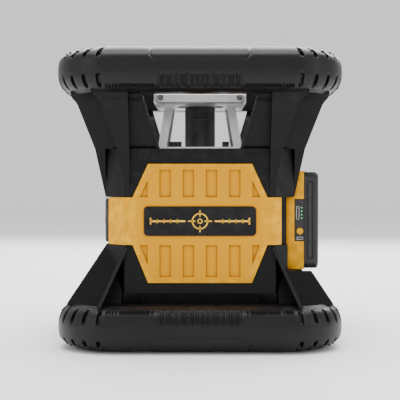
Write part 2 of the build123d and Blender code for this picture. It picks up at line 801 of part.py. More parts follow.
# ---------------------------------------------------------------- rotor and levelling gimbal
pivot = 136.0
neck_radius = 16.0
neck_bore = 11.0
shaft_radius = 8.0
shaft_bore = 5.0
tube_radius = 12.3
tube_top = 187.0
tube_bottom = 152.0
bearing_spots = (126.0, 143.0)
bearing_height = 5.0
disc_low, disc_high = 104.0, 108.0
belt_low, belt_high = 111.2, 115.2
motor_distance = 27.0
arm_reach = 48.0
arm_low, arm_high = 125.0, 128.0
chassis_low = band_top + body_wall
chassis_high = chassis_low + 3.0
ring_outer, ring_inner, ring_depth = 29.0, 23.0, 7.0
post_distance = 36.0
pin_radius = 2.0
running_gap = 0.05
screw_radius = 2.0
nut_radius = 6.0

with BuildPart() as chassis:
    with BuildSketch(Plane.XY.offset(chassis_low)):
        wide, narrow, right = body_half - 6.0, body_flat_half - 2.0, bay_back - 0.8
        outline([(right, -wide), (right, wide), (-narrow, wide), (-wide, narrow),
                 (-wide, -narrow), (-narrow, -wide)])
        Rectangle(62.0, 84.0, mode=Mode.SUBTRACT)
        with Locations((0, -arm_reach), (-arm_reach, 0)):
            Circle(nut_radius + 4.5)
        with Locations((0, -arm_reach), (-arm_reach, 0)):
            Circle(nut_radius + 1.0, mode=Mode.SUBTRACT)
    extrude(amount=chassis_high - chassis_low)
    with BuildSketch(Plane.XY.offset(chassis_low - 13.0)):
        with Locations((0, -arm_reach), (-arm_reach, 0)):
            Circle(nut_radius + 3.4)
        with Locations((0, -arm_reach), (-arm_reach, 0)):
            Circle(nut_radius + 1.0, mode=Mode.SUBTRACT)
    extrude(amount=13.0)
    for side in (-1, 1):
        for leg in (-1, 1):
            add(span_box(sorted((side * 33.5, side * 38.5)), sorted((leg * 8.0, leg * 12.0)),
                         (chassis_high, 142.0)))
        add(span_box(sorted((side * 33.5, side * 38.5)), (-8.0, 8.0), (132.6, 142.0)))
    with BuildSketch(Plane.YZ.offset(-50)):
        with Locations((0, pivot)):
            Circle(pin_radius + running_gap)
    extrude(amount=100, mode=Mode.SUBTRACT)
finish(chassis.part, "chassis")

with BuildPart() as gimbal_ring:
    with BuildSketch(Plane.XY.offset(pivot - ring_depth / 2)):
        Circle(ring_outer)
        Circle(ring_inner, mode=Mode.SUBTRACT)
    extrude(amount=ring_depth)
    with BuildSketch(Plane.YZ.offset(-60)):
        with Locations((0, pivot)):
            Circle(pin_radius + 0.02)
    extrude(amount=120, mode=Mode.SUBTRACT)
    with BuildSketch(Plane.XZ.offset(-60)):
        with Locations((0, pivot)):
            Circle(pin_radius + 0.02)
    extrude(amount=120, mode=Mode.SUBTRACT)
finish(gimbal_ring.part, "gimbal_ring")

gimbal_pins = [Pos(side * 30.7, 0, pivot) * Rot(0, 90, 0) * Cylinder(pin_radius, 15.0)
               for side in (-1, 1)]
gimbal_pins += [Pos(0, side * 20.9, pivot) * Rot(90, 0, 0) * Cylinder(pin_radius, 14.8)
                for side in (-1, 1)]
gimbal_pins = Part() + gimbal_pins
finish(gimbal_pins, "gimbal_pins")

with BuildPart() as platform:
    with BuildSketch(Plane.XY.offset(disc_low)):
        Circle(24.0)
        with Locations((0, motor_distance)):
            Circle(10.0)
        Rectangle(20.0, 2 * motor_distance)
    extrude(amount=disc_high - disc_low)
    with BuildSketch(Plane.XY.offset(disc_low)):
        Circle(shaft_bore + 1)
        with Locations((0, motor_distance)):
            Circle(1.8)
    extrude(amount=disc_high - disc_low, mode=Mode.SUBTRACT)
    with BuildSketch(Plane.XY.offset(disc_high)):
        with Locations((19.5, 0), (-19.5, 0)):
            Circle(3.2)
    extrude(amount=13.0)
    with BuildSketch(Plane.XY.offset(119.0)):
        Circle(22.5)
    extrude(amount=3.0)
    with BuildSketch(Plane.XY.offset(119.0)):
        Circle(neck_radius)
    extrude(amount=31.0)
    with BuildSketch(Plane.XY.offset(arm_low)):
        with Locations((0, -arm_reach / 2)):
            Rectangle(7.0, arm_reach)
        with Locations((-arm_reach / 2, 0)):
            Rectangle(arm_reach, 7.0)
        with Locations((0, -arm_reach), (-arm_reach, 0)):
            Circle(7.5)
        with Locations((0, -arm_reach), (-arm_reach, 0)):
            Circle(screw_radius + 2.0, mode=Mode.SUBTRACT)
    extrude(amount=arm_high - arm_low)
    with BuildSketch(Plane.XY.offset(118.0)):
        Circle(neck_bore)
    extrude(amount=40.0, mode=Mode.SUBTRACT)
    with BuildSketch(Plane.XZ.offset(-60)):
        with Locations((0, pivot)):
            Circle(pin_radius + running_gap)
    extrude(amount=120, mode=Mode.SUBTRACT)
finish(platform.part, "platform")

with BuildPart() as laser_barrel:
    with BuildSketch(Plane.XY.offset(66.0)):
        Circle(13.0)
    extrude(amount=disc_low - 66.0)
    with BuildSketch(Plane.XY.offset(disc_low - 5.0)):
        Circle(17.0)
    extrude(amount=5.0)
    with BuildSketch(Plane.XY.offset(70.0)):
        Circle(8.1)
    extrude(amount=40.0, mode=Mode.SUBTRACT)
finish(laser_barrel.part, "laser_barrel")

with BuildPart() as collimator_lens:
    with BuildSketch(Plane.XY.offset(disc_low - 4.0)):
        Circle(8.05)
    extrude(amount=4.0)
finish(collimator_lens.part, "collimator_lens")

with BuildPart() as rotor_bearings:
    for spot in bearing_spots:
        with BuildSketch(Plane.XY.offset(spot)):
            Circle(neck_bore - 0.03)
            Circle(shaft_radius + running_gap, mode=Mode.SUBTRACT)
        extrude(amount=bearing_height)
finish(rotor_bearings.part, "rotor_bearings")

with BuildPart() as rotor_motor:
    with BuildSketch(Plane.XY.offset(82.0)):
        with Locations((0, motor_distance)):
            Circle(8.0)
    extrude(amount=disc_low - 82.0)
    with BuildSketch(Plane.XY.offset(98.0)):
        with Locations((0, motor_distance)):
            Circle(1.8)
    extrude(amount=10.0, mode=Mode.SUBTRACT)
finish(rotor_motor.part, "rotor_motor")

rotor_pulley, motor_pulley_radius, belt_thickness, belt_gap = 12.0, 6.0, 1.2, 0.3
with BuildPart() as motor_pulley:
    with BuildSketch(Plane.XY.offset(100.0)):
        with Locations((0, motor_distance)):
            Circle(1.5)
    extrude(amount=belt_low - 100.0)
    with BuildSketch(Plane.XY.offset(belt_low - 1.0)):
        with Locations((0, motor_distance)):
            Circle(motor_pulley_radius)
    extrude(amount=belt_high - belt_low + 2.0)
finish(motor_pulley.part, "motor_pulley")

with BuildPart() as rotor_shaft:
    with BuildSketch(Plane.XY.offset(belt_low - 1.0)):
        Circle(rotor_pulley)
    extrude(amount=belt_high - belt_low + 2.0)
    with BuildSketch(Plane.XY.offset(belt_low - 1.0)):
        Circle(shaft_radius)
    extrude(amount=tube_bottom - belt_low + 1.0)
    with BuildSketch(Plane.XY.offset(tube_bottom - 1.2)):
        Circle(tube_radius)
    extrude(amount=3.2)
    with BuildSketch(Plane.XY.offset(belt_low - 2.0)):
        Circle(shaft_bore)
    extrude(amount=tube_bottom - belt_low + 6.0, mode=Mode.SUBTRACT)
finish(rotor_shaft.part, "rotor_shaft")


def belt_loop(extra):
    """Plan of the belt round both pulleys."""
    wide, narrow = rotor_pulley + extra, motor_pulley_radius + extra
    cosine = (wide - narrow) / motor_distance
    sine = math.sqrt(1 - cosine ** 2)
    Circle(wide)
    with Locations((0, motor_distance)):
        Circle(narrow)
    Polygon((wide * sine, wide * cosine), (narrow * sine, motor_distance + narrow * cosine),
            (-narrow * sine, motor_distance + narrow * cosine), (-wide * sine, wide * cosine),
            align=None)


with BuildPart() as drive_belt:
    with BuildSketch(Plane.XY.offset(belt_low)):
        belt_loop(belt_gap + belt_thickness)
    extrude(amount=belt_high - belt_low)
    with BuildSketch(Plane.XY.offset(belt_low)):
        belt_loop(belt_gap)
    extrude(amount=belt_high - belt_low, mode=Mode.SUBTRACT)
finish(drive_belt.part, "drive_belt")

tube_seat = tube_bottom + 2.0
beam_height, beam_half, prism_half = 171.0, 5.0, 5.5
with BuildPart() as rotor_tube:
    with BuildSketch(Plane.XY.offset(tube_seat)):
        Circle(tube_radius)
    extrude(amount=tube_top - tube_seat)
    fillet(rotor_tube.edges().group_by(Axis.Z)[-1], 1.0)
    with BuildSketch(Plane.XY.offset(tube_seat)):
        Circle(tube_radius - 2.0)
    extrude(amount=tube_top - tube_seat - 2.0, mode=Mode.SUBTRACT)
    with BuildSketch(Plane.XY.offset(tube_top - 3.0)):
        Circle(4.0)
    extrude(amount=4.0, mode=Mode.SUBTRACT)
    with BuildSketch(Plane.XZ.offset(0)):
        with Locations((0, beam_height)):
            Rectangle(2 * beam_half, 2 * beam_half)
    extrude(amount=20.0, mode=Mode.SUBTRACT)
finish(rotor_tube.part, "rotor_tube")

with BuildPart() as beam_prism:
    with BuildSketch(Plane.XY.offset(beam_height - prism_half)):
        Rectangle(2 * prism_half, 2 * prism_half)
    extrude(amount=2 * prism_half)
    with BuildSketch(Plane.XY.offset(tube_seat)):
        Circle(tube_radius - 2.1)
        Circle(shaft_bore, mode=Mode.SUBTRACT)
    extrude(amount=2.0)
    for side in (-1, 1):
        add(span_box(sorted((side * prism_half, side * (prism_half + 2.0))), (-4.0, 4.0),
                     (tube_seat, beam_height + prism_half)))
finish(beam_prism.part, "beam_prism")

with BuildPart() as beam_window:
    with BuildSketch(Plane.XZ.offset(tube_radius - 2.6)):
        with Locations((0, beam_height)):
            Rectangle(2 * beam_half - 0.1, 2 * beam_half - 0.1)
    extrude(amount=1.4)
finish(beam_window.part, "beam_window")

with BuildPart() as level_motors:
    with BuildSketch(Plane.XY.offset(80.0)):
        with Locations((0, -arm_reach), (-arm_reach, 0)):
            Circle(nut_radius + 3.4)
    extrude(amount=chassis_low - 13.0 - 80.0)
    with BuildSketch(Plane.XY.offset(90.0)):
        with Locations((0, -arm_reach), (-arm_reach, 0)):
            Circle(screw_radius + 0.3)
    extrude(amount=20.0, mode=Mode.SUBTRACT)
finish(level_motors.part, "level_motors")

for name, place in (("x", (0, -arm_reach)), ("y", (-arm_reach, 0))):
    with BuildPart() as leadscrew:
        with BuildSketch(Plane.XY.offset(92.0)):
            with Locations(place):
                Circle(screw_radius)
        extrude(amount=133.0 - 92.0)
        with BuildSketch(Plane.XY.offset(chassis_low - 12.8)):
            with Locations(place):
                Circle(3.2)
        extrude(amount=1.2)
    finish(leadscrew.part, f"leadscrew_{name}")
    with BuildPart() as lift_nut:
        with BuildSketch(Plane.XY.offset(arm_low - 7.0)):
            with Locations(place):
                Circle(nut_radius)
        extrude(amount=6.2)
        chamfer(lift_nut.edges().group_by(Axis.Z)[-1], 1.2)
        with BuildSketch(Plane.XY.offset(arm_low - 8.0)):
            with Locations(place):
                Circle(screw_radius + running_gap)
        extrude(amount=8.0, mode=Mode.SUBTRACT)
    finish(lift_nut.part, f"lift_nut_{name}")

# ---------------------------------------------------------------- electronics and keypad
ledge = body_bottom + body_wall
with BuildPart() as main_pcb:
    with BuildSketch(Plane.XY.offset(ledge)):
        Rectangle(2 * (pedestal_half + 1.0), 98.0)
        with Locations((0, 0)):
            Circle(18.0, mode=Mode.SUBTRACT)
    extrude(amount=1.6)
    for x, y, width, depth, height in ((35, 20, 16, 16, 2.0), (35, -22, 20, 12, 2.4),
                                       (-36, 25, 10, 10, 9.0), (-36, -24, 26, 14, 3.0)):
        add(span_box((x - width / 2, x + width / 2), (y - depth / 2, y + depth / 2),
                     (ledge + 1.6, ledge + 1.6 + height)))
finish(main_pcb.part, "main_pcb")

keypad_depth = 3.7
keypad_length, keypad_height = 92.0, 34.0
keypad_face = side_face + keypad_depth
travel = 0.8
keys = {
    "power_button": (-33.0, 0.0, 6.5), "speed_button": (-14.0, 7.6, 5.0),
    "scan_button": (2.0, 7.6, 5.0), "slope_button": (18.0, 7.6, 5.0),
    "arrow_left_button": (-14.0, -7.6, 5.0), "arrow_right_button": (18.0, -7.6, 5.0),
}
band_middle = (band_top + band_bottom) / 2
lens_spots = [(34.0, band_middle + rise) for rise in (-8.0, 0.0, 8.0)]
with BuildPart() as keypad_bezel:
    with BuildSketch(Plane.YZ.offset(-keypad_face)):
        with Locations((0, band_middle)):
            RectangleRounded(keypad_length, keypad_height, 4.0)
    extrude(amount=keypad_depth)
    chamfer(keypad_bezel.faces().sort_by(Axis.X)[0].edges(), 0.8)
    with BuildSketch(Plane.YZ.offset(-keypad_face)):
        for along, rise, radius in keys.values():
            with Locations((along, band_middle + rise)):
                Circle(radius + 0.3)
        with Locations(*lens_spots):
            Circle(1.65)
    extrude(amount=keypad_depth, mode=Mode.SUBTRACT)
finish(keypad_bezel.part, "keypad_bezel")

for name, (along, rise, radius) in keys.items():
    with BuildPart() as key:
        with BuildSketch(Plane.YZ.offset(-keypad_face - travel)):
            with Locations((along, band_middle + rise)):
                Circle(radius)
        extrude(amount=keypad_depth - 0.2)
        fillet(key.edges().group_by(Axis.X)[0], 0.6)
    finish(key.part, name)

with BuildPart() as status_lenses:
    with BuildSketch(Plane.YZ.offset(-keypad_face - 0.4)):
        with Locations(*lens_spots):
            Circle(1.6)
    extrude(amount=keypad_depth)
finish(status_lenses.part, "status_lenses")

inner_wall = band_recess_half - body_wall
with BuildPart() as keypad_pcb:
    with BuildSketch(Plane.YZ.offset(-inner_wall)):
        with Locations((0, band_middle)):
            Rectangle(84.0, 30.0)
    extrude(amount=1.6)
finish(keypad_pcb.part, "keypad_pcb")

# ---------------------------------------------------------------- mounts and fasteners
with BuildPart() as base_plate:
    with BuildSketch(Plane.XY.offset(base_low)):
        Circle(base_plate_radius)
        Circle(insert_radius + 0.1, mode=Mode.SUBTRACT)
        with PolarLocations(base_screw_circle, 4, start_angle=45):
            Circle(base_screw_radius + 0.1, mode=Mode.SUBTRACT)
    extrude(amount=floor_bottom - base_low)
    with BuildSketch(Plane.XY.offset(base_low)):
        with PolarLocations(base_screw_circle, 4, start_angle=45):
            Circle(4.2)
    extrude(amount=3.0, mode=Mode.SUBTRACT)
    chamfer(base_plate.edges().group_by(Axis.Z)[0].sort_by(SortBy.RADIUS)[-1], 1.0)
finish(base_plate.part, "base_plate")

with BuildPart() as base_insert:
    with BuildSketch(Plane.XY.offset(base_low)):
        Circle(insert_radius)
    extrude(amount=floor_bottom + floor_thickness + 6.0 - base_low)
    with BuildSketch(Plane.XY.offset(floor_bottom + floor_thickness)):
        Circle(insert_flange)
    extrude(amount=3.0)
    with BuildSketch(Plane.XY.offset(base_low)):
        Circle(insert_bore)
    extrude(amount=base_thread, mode=Mode.SUBTRACT)
finish(base_insert.part, "base_insert")

with BuildPart() as base_screws:
    with BuildSketch(Plane.XY.offset(base_low + 0.4)):
        with PolarLocations(base_screw_circle, 4, start_angle=45):
            Circle(3.6)
    extrude(amount=2.6)
    with BuildSketch(Plane.XY.offset(base_low + 3.0)):
        with PolarLocations(base_screw_circle, 4, start_angle=45):
            Circle(base_screw_radius)
    extrude(amount=floor_bottom + floor_thickness + 2.0 - base_low - 3.0)
finish(base_screws.part, "base_screws")

with BuildPart() as rear_insert:
    with BuildSketch(Plane.XZ.offset(-panel_front)):
        with Locations((0, body_middle)):
            Circle(insert_radius)
    extrude(amount=panel_front - inner_wall)
    with BuildSketch(Plane.XZ.offset(-inner_wall)):
        with Locations((0, body_middle)):
            Circle(insert_flange)
    extrude(amount=4.0)
    with BuildSketch(Plane.XZ.offset(-panel_front)):
        with Locations((0, body_middle)):
            Circle(insert_bore)
    extrude(amount=panel_front - inner_wall + 1.5, mode=Mode.SUBTRACT)
finish(rear_insert.part, "rear_insert")

with BuildPart() as cage_screws:
    with BuildSketch(Plane.XY.offset(cage_screw_seat - 4.0)):
        with Locations(*corner_places(boss_place)):
            Circle(3.6)
    extrude(amount=4.0)
    with BuildSketch(Plane.XY.offset(cage_screw_seat)):
        with Locations(*corner_places(boss_place)):
            Circle(cage_screw_radius)
    extrude(amount=28.0)
finish(cage_screws.part, "cage_screws")
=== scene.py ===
import bpy, bmesh, json, math
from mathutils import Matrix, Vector


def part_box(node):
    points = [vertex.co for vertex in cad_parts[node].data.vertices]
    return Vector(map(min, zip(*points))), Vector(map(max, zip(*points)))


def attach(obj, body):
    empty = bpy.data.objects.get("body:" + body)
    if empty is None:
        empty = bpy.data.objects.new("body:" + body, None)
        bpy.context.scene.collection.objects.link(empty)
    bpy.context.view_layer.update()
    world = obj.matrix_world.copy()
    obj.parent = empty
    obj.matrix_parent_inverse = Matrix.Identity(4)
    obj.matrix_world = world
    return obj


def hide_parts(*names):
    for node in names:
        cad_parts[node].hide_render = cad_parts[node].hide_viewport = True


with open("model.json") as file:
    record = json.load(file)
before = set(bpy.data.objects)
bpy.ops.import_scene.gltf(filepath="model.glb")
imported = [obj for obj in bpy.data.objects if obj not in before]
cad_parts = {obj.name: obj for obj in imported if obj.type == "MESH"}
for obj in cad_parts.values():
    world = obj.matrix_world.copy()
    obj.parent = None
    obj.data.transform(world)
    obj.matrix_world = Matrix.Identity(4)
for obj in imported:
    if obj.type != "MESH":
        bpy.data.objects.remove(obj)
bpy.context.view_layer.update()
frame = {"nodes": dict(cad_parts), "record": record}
NODES = frame["nodes"]
MM = 0.001


# ---------------------------------------------------------------- node helpers
def srgb(r, g, b):
    """Display colour 0..255 to linear."""
    def one(v):
        v /= 255.0
        return v / 12.92 if v <= 0.04045 else ((v + 0.055) / 1.055) ** 2.4
    return (one(r), one(g), one(b), 1.0)


class Mat:
    """A small builder round one node material."""

    def __init__(self, name):
        self.mat = bpy.data.materials.new(name)
        self.mat.use_nodes = True
        self.tree = self.mat.node_tree
        self.tree.nodes.clear()
        self.out = self.add("ShaderNodeOutputMaterial")
        self.bsdf = self.add("ShaderNodeBsdfPrincipled")
        self.link(self.bsdf, "BSDF", self.out, "Surface")
        self.coord = self.add("ShaderNodeTexCoord")

    def add(self, kind, **values):
        node = self.tree.nodes.new(kind)
        for key, value in values.items():
            if key in node.inputs:
                node.inputs[key].default_value = value
            else:
                setattr(node, key, value)
        return node

    def link(self, a, out, b, into):
        self.tree.links.new(a.outputs[out], b.inputs[into])

    def set(self, **values):
        for key, value in values.items():
            self.bsdf.inputs[key.replace("_", " ")].default_value = value

    def noise(self, scale, detail=4.0, rough=0.55):
        node = self.add("ShaderNodeTexNoise", Scale=scale, Detail=detail, Roughness=rough)
        self.link(self.coord, "Object", node, "Vector")
        return node

    def voronoi(self, scale):
        node = self.add("ShaderNodeTexVoronoi", Scale=scale)
        self.link(self.coord, "Object", node, "Vector")
        return node

    def span(self, source, out, low, high, lo_in=0.0, hi_in=1.0):
        node = self.add("ShaderNodeMapRange")
        node.inputs["From Min"].default_value = lo_in
        node.inputs["From Max"].default_value = hi_in
        node.inputs["To Min"].default_value = low
        node.inputs["To Max"].default_value = high
        self.link(source, out, node, "Value")
        return node

    def mix(self, factor, factor_out, a, b):
        node = self.add("ShaderNodeMix", data_type="RGBA")
        self.link(factor, factor_out, node, "Factor")
        for socket, value in ((6, a), (7, b)):
            if isinstance(value, tuple):
                node.inputs[socket].default_value = value
            else:
                self.tree.links.new(value[0].outputs[value[1]] if isinstance(value, list)
                                    else value.outputs[0], node.inputs[socket])
        return node

    def bump(self, source, out, strength, distance, after=None):
        node = self.add("ShaderNodeBump", Strength=strength, Distance=distance)
        self.link(source, out, node, "Height")
        if after is not None:
            self.link(after, "Normal", node, "Normal")
        self.link(node, "Normal", self.bsdf, "Normal")
        return node

    def edges(self, low, high):
        """White along convex edges: partly where handling wears a surface, partly a painted highlight
        where light catches the edges.
        """
        geometry = self.add("ShaderNodeNewGeometry")
        return self.span(geometry, "Pointiness", 0.0, 1.0, low, high)


def moulded(name, colour, worn, rough, grain=0.25, grain_scale=900.0, coat=0.0, spec=0.4,
            bevel=0.0006, painted_crevice_shade=0.0):
    """Moulded plastic or rubber: fine grain, uneven sheen, paler edges that are partly wear and
    partly a painted highlight, and optional painted shade darkening the crevices.
    """
    m = Mat(name)
    cloud = m.noise(18.0, 5.0)
    fine = m.noise(grain_scale, 3.0, 0.6)
    tone = m.mix(m.span(cloud, "Fac", 0.0, 1.0, 0.35, 0.7), "Result", colour, worn)
    # paler convex edges: partly handling wear, partly a painted highlight along the edges
    edge = m.edges(0.505, 0.56)
    edge_wear_and_highlight_mask = m.add("ShaderNodeMath", operation="MULTIPLY")
    m.link(edge, "Result", edge_wear_and_highlight_mask, 0)
    m.link(m.span(m.noise(140.0, 3.0), "Fac", 0.0, 0.6, 0.4, 0.7), "Result", edge_wear_and_highlight_mask, 1)
    edge_wear_and_highlight_colour = tuple(min(1.0, c * 1.7 + 0.01) for c in worn[:3]) + (1.0,)
    final = m.mix(edge_wear_and_highlight_mask, "Value", [tone, 2], edge_wear_and_highlight_colour)
    soft = m.add("ShaderNodeBevel", samples=4, Radius=bevel)
    # painted shade: ambient occlusion darkens the colour in crevices and recesses
    if painted_crevice_shade:
        shade = m.add("ShaderNodeAmbientOcclusion", samples=12, Distance=0.004)
        painted_shade_mask = m.span(shade, "AO", 1.0, 0.0, 0.35, 0.95)
        darker = (colour[0] * 0.8 * (1 - painted_crevice_shade), colour[1] * 0.5 * (1 - painted_crevice_shade), 0.0, 1.0)
        final = m.mix(painted_shade_mask, "Result", [final, 2], darker)
    m.tree.links.new(final.outputs[2], m.bsdf.inputs["Base Color"])
    m.link(m.span(m.noise(70.0, 3.0), "Fac", rough - 0.04, rough + 0.05), "Result",
           m.bsdf, "Roughness")
    m.bump(fine, "Fac", grain, 0.00012, soft)
    m.set(Specular_IOR_Level=spec, Coat_Weight=coat, Coat_Roughness=0.2)
    return m.mat


def metal(name, colour, rough, grain_scale=600.0, grain=0.35, pits=0.0):
    m = Mat(name)
    cloud = m.noise(60.0, 6.0)
    darker = tuple(c * 0.72 for c in colour[:3]) + (1.0,)
    tone = m.mix(cloud, "Fac", colour, darker)
    m.tree.links.new(tone.outputs[2], m.bsdf.inputs["Base Color"])
    m.link(m.span(m.noise(210.0, 4.0), "Fac", rough - 0.1, rough + 0.1), "Result",
           m.bsdf, "Roughness")
    first = m.bump(m.noise(grain_scale, 4.0), "Fac", grain, 0.0002)
    if pits:
        m.bump(m.voronoi(420.0), "Distance", pits, 0.0004, first)
    m.set(Metallic=1.0)
    return m.mat


def glassy(name, tint, alpha_mix, rough=0.03):
    """Thin glazing: mostly see-through with a clear reflection."""
    m = Mat(name)
    m.set(Base_Color=tint, IOR=1.5, Specular_IOR_Level=0.3)
    m.link(m.span(m.noise(35.0, 5.0), "Fac", rough, rough + 0.07), "Result", m.bsdf, "Roughness")
    m.set(Alpha=alpha_mix)
    return m.mat


def drawn(name, colour, axis, scale, rough):
    """Turned or drawn metal with fine lines across one axis."""
    m = Mat(name)
    wave = m.add("ShaderNodeTexWave", Scale=scale, Distortion=1.5, Detail=3.0)
    wave.bands_direction = axis
    m.link(m.coord, "Object", wave, "Vector")
    darker = tuple(c * 0.8 for c in colour[:3]) + (1.0,)
    tone = m.mix(wave, "Fac", colour, darker)
    m.tree.links.new(tone.outputs[2], m.bsdf.inputs["Base Color"])
    m.link(m.span(m.noise(90.0), "Fac", rough - 0.08, rough + 0.08), "Result",
           m.bsdf, "Roughness")
    m.bump(wave, "Fac", 0.15, 0.0001)
    m.set(Metallic=1.0)
    return m.mat


BLACK = srgb(9, 8, 10)
M = {
    "bumper_rubber": moulded("bumper_rubber", srgb(7, 6, 8), srgb(12, 11, 13), 0.4, 0.3, 1400.0,
                             spec=0.25),
    "cage_plastic": moulded("cage_plastic", BLACK, srgb(11, 10, 12), 0.42, 0.35, 1100.0,
                            spec=0.16),
    # the yellow plastic gets painted shade darkening its recesses
    "yellow_plastic": moulded("yellow_plastic", (0.66, 0.29, 0.0, 1.0), (0.67, 0.30, 0.0, 1.0), 0.5,
                              0.12, 1500.0, spec=0.08, painted_crevice_shade=0.35),
    "badge_gloss": moulded("badge_gloss", srgb(9, 8, 9), srgb(11, 10, 11), 0.3, 0.05, spec=0.2),
    "contact_block": moulded("contact_block", srgb(40, 40, 42), srgb(52, 52, 54), 0.5),
    "seal_rubber": moulded("seal_rubber", srgb(24, 24, 24), srgb(34, 34, 34), 0.6),
    "cast_aluminium": metal("cast_aluminium", (0.86, 0.85, 0.83, 1.0), 0.55, 700.0, 0.5, 0.35),
    "window_glass": glassy("window_glass", (0.93, 0.96, 0.96, 1.0), 0.015),
    "cap_black": moulded("cap_black", srgb(8, 8, 9), srgb(11, 10, 11), 0.4, spec=0.15),
    "screw_steel": metal("screw_steel", (0.42, 0.42, 0.42, 1.0), 0.36),
    "base_aluminium": drawn("base_aluminium", (0.6, 0.6, 0.61, 1.0), "X", 220.0, 0.35),
    "insert_steel": drawn("insert_steel", (0.5, 0.49, 0.47, 1.0), "Z", 260.0, 0.32),
    "chassis_aluminium": metal("chassis_aluminium", (0.5, 0.5, 0.49, 1.0), 0.5),
    "circuit_board": moulded("circuit_board", srgb(16, 74, 42), srgb(24, 90, 52), 0.35),
    "keypad_plastic": moulded("keypad_plastic", srgb(46, 46, 50), srgb(58, 57, 61), 0.45),
    "lens_clear": moulded("lens_clear", srgb(90, 190, 80), srgb(120, 205, 100), 0.15),
    "brass_barrel": drawn("brass_barrel", (0.75, 0.55, 0.22, 1.0), "Z", 300.0, 0.3),
    "bearing_steel": drawn("bearing_steel", (0.62, 0.62, 0.63, 1.0), "Z", 260.0, 0.18),
    "motor_steel": drawn("motor_steel", (0.5, 0.5, 0.52, 1.0), "Z", 200.0, 0.34),
    "pulley_plastic": moulded("pulley_plastic", srgb(205, 203, 194), srgb(214, 212, 204), 0.5),
    "belt_rubber": moulded("belt_rubber", srgb(24, 24, 24), srgb(34, 34, 34), 0.6),
    "rotor_black": moulded("rotor_black", srgb(7, 6, 7), srgb(8, 7, 8), 0.3, 0.05, 900, spec=0.15),
    "pack_plastic": moulded("pack_plastic", srgb(22, 22, 23), srgb(32, 32, 33), 0.42, 0.35, 1000.0),
    "cell_wrap": moulded("cell_wrap", srgb(28, 84, 150), srgb(36, 96, 164), 0.3),
    "latch_plastic": moulded("latch_plastic", (0.62, 0.27, 0.0, 1.0), (0.67, 0.31, 0.0, 1.0), 0.45,
                             spec=0.15),
    "key_rubber": moulded("key_rubber", srgb(74, 74, 78), srgb(86, 86, 90), 0.55),
}
for part in frame["record"]["subparts"]:
    node = NODES[part["node"]]
    node.data.materials.clear()
    node.data.materials.append(M[part["material_slot"]])

# ---------------------------------------------------------------- mesh helpers
def make(name, verts, faces, material, body="root", smooth=None):
    """A mesh object in metres from points in millimetres."""
    mesh = bpy.data.meshes.new(name)
    mesh.from_pydata([tuple(c * MM for c in v) for v in verts], [], faces)
    mesh.materials.append(material)
    obj = bpy.data.objects.new(name, mesh)
    bpy.context.scene.collection.objects.link(obj)
    if smooth is not None:
        mesh.polygons.foreach_set("use_smooth", [True] * len(mesh.polygons))
        mesh.set_sharp_from_angle(angle=math.radians(smooth))
    mesh.update()
    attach(obj, body)
    return obj


def rounded(points, fixed, passes=2):
    """Corner cutting that leaves the points named in fixed sharp."""
    for _ in range(passes):
        result, kept = [], set()
        n = len(points)
        for k, point in enumerate(points):
            before, after = points[k - 1], points[(k + 1) % n]
            if k in fixed:
                kept.add(len(result))
                result.append(point)
                continue
            for other in (before, after):
                result.append(tuple(p + (q - p) * 0.25 for p, q in zip(point, other)))
        points, fixed = result, kept
    return points


# ---------------------------------------------------------------- bumper rings
RING_HALF, RING_CORNER, TOTAL = 107.5, 46.0, 224.0
STRAIGHT = RING_HALF - RING_CORNER
RIB_ZONE, RIB_PITCH, RIB_DEPTH = 31.0, 1.35, 0.7
TEETH_END, TEETH_PITCH, TEETH_DEPTH = 69.4, 2.6, 1.2
PAD_HALF, PAD_LOW, PAD_CUT, PAD_GROOVE = 36.0, 211.7, 4.0, 0.6
SLOT_ANGLES = [15.0 + 15.0 * k for k in range(5)]
SLOT_HALF, SLOT_DEPTH = 2.1, 2.6                 # degrees, mm
RIB_SPAN, TEETH_SPAN, RIDGE_SPAN = (192.6, 202.4), (190.0, 194.8), (195.2, 196.4)
RIDGE_RISE = 0.4
SLOT_SPANS = ((214.2, 222.6), (192.6, 203.0))    # the upper and the lower row, by height

section = rounded(
    [(100.0, 192.0), (104.2, 194.6), (RING_HALF, 201.5), (RING_HALF, 213.5), (104.6, 218.6),
     (92.0, TOTAL), (81.5, TOTAL), (78.0, 221.5), (78.0, 219.0), (100.0, 219.0)],
    {0, 8, 9}, 3)


def resample(points, closed_at, step=1.1):
    """Adds points along long runs, so that the relief has something to move."""
    result = []
    for k, point in enumerate(points):
        after = points[(k + 1) % len(points)]
        length = math.dist(point, after)
        parts = max(1, round(length / step)) if k < closed_at else 1
        for part in range(parts):
            f = part / parts
            result.append(tuple(p + (q - p) * f for p, q in zip(point, after)))
    return result


outer_count = next(k for k, p in enumerate(section) if p == (78.0, 219.0))
section = resample(section, outer_count)


def section_normals(points):
    normals = []
    for k in range(len(points)):
        a, b = points[k - 1], points[(k + 1) % len(points)]
        dx, dz = b[0] - a[0], b[1] - a[1]
        size = math.hypot(dx, dz) or 1.0
        normals.append((dz / size, -dx / size))
    return normals


NORMALS = section_normals(section)


def smooth_window(value, low, high, edge):
    """1 between low and high, easing to 0 over edge on each side."""
    f = min((value - low) / edge, (high - value) / edge)
    f = max(0.0, min(1.0, f + 0.5))
    return f * f * (3 - 2 * f)


def in_pad(z, t, grow):
    """1 inside the outline of the pad on a ring's side, which has cut lower corners."""
    edge = PAD_HALF - max(0.0, PAD_LOW + PAD_CUT - z) + grow
    return smooth_window(t, -edge, edge, 0.5) * smooth_window(z, PAD_LOW - grow, 2 * TOTAL, 0.5)


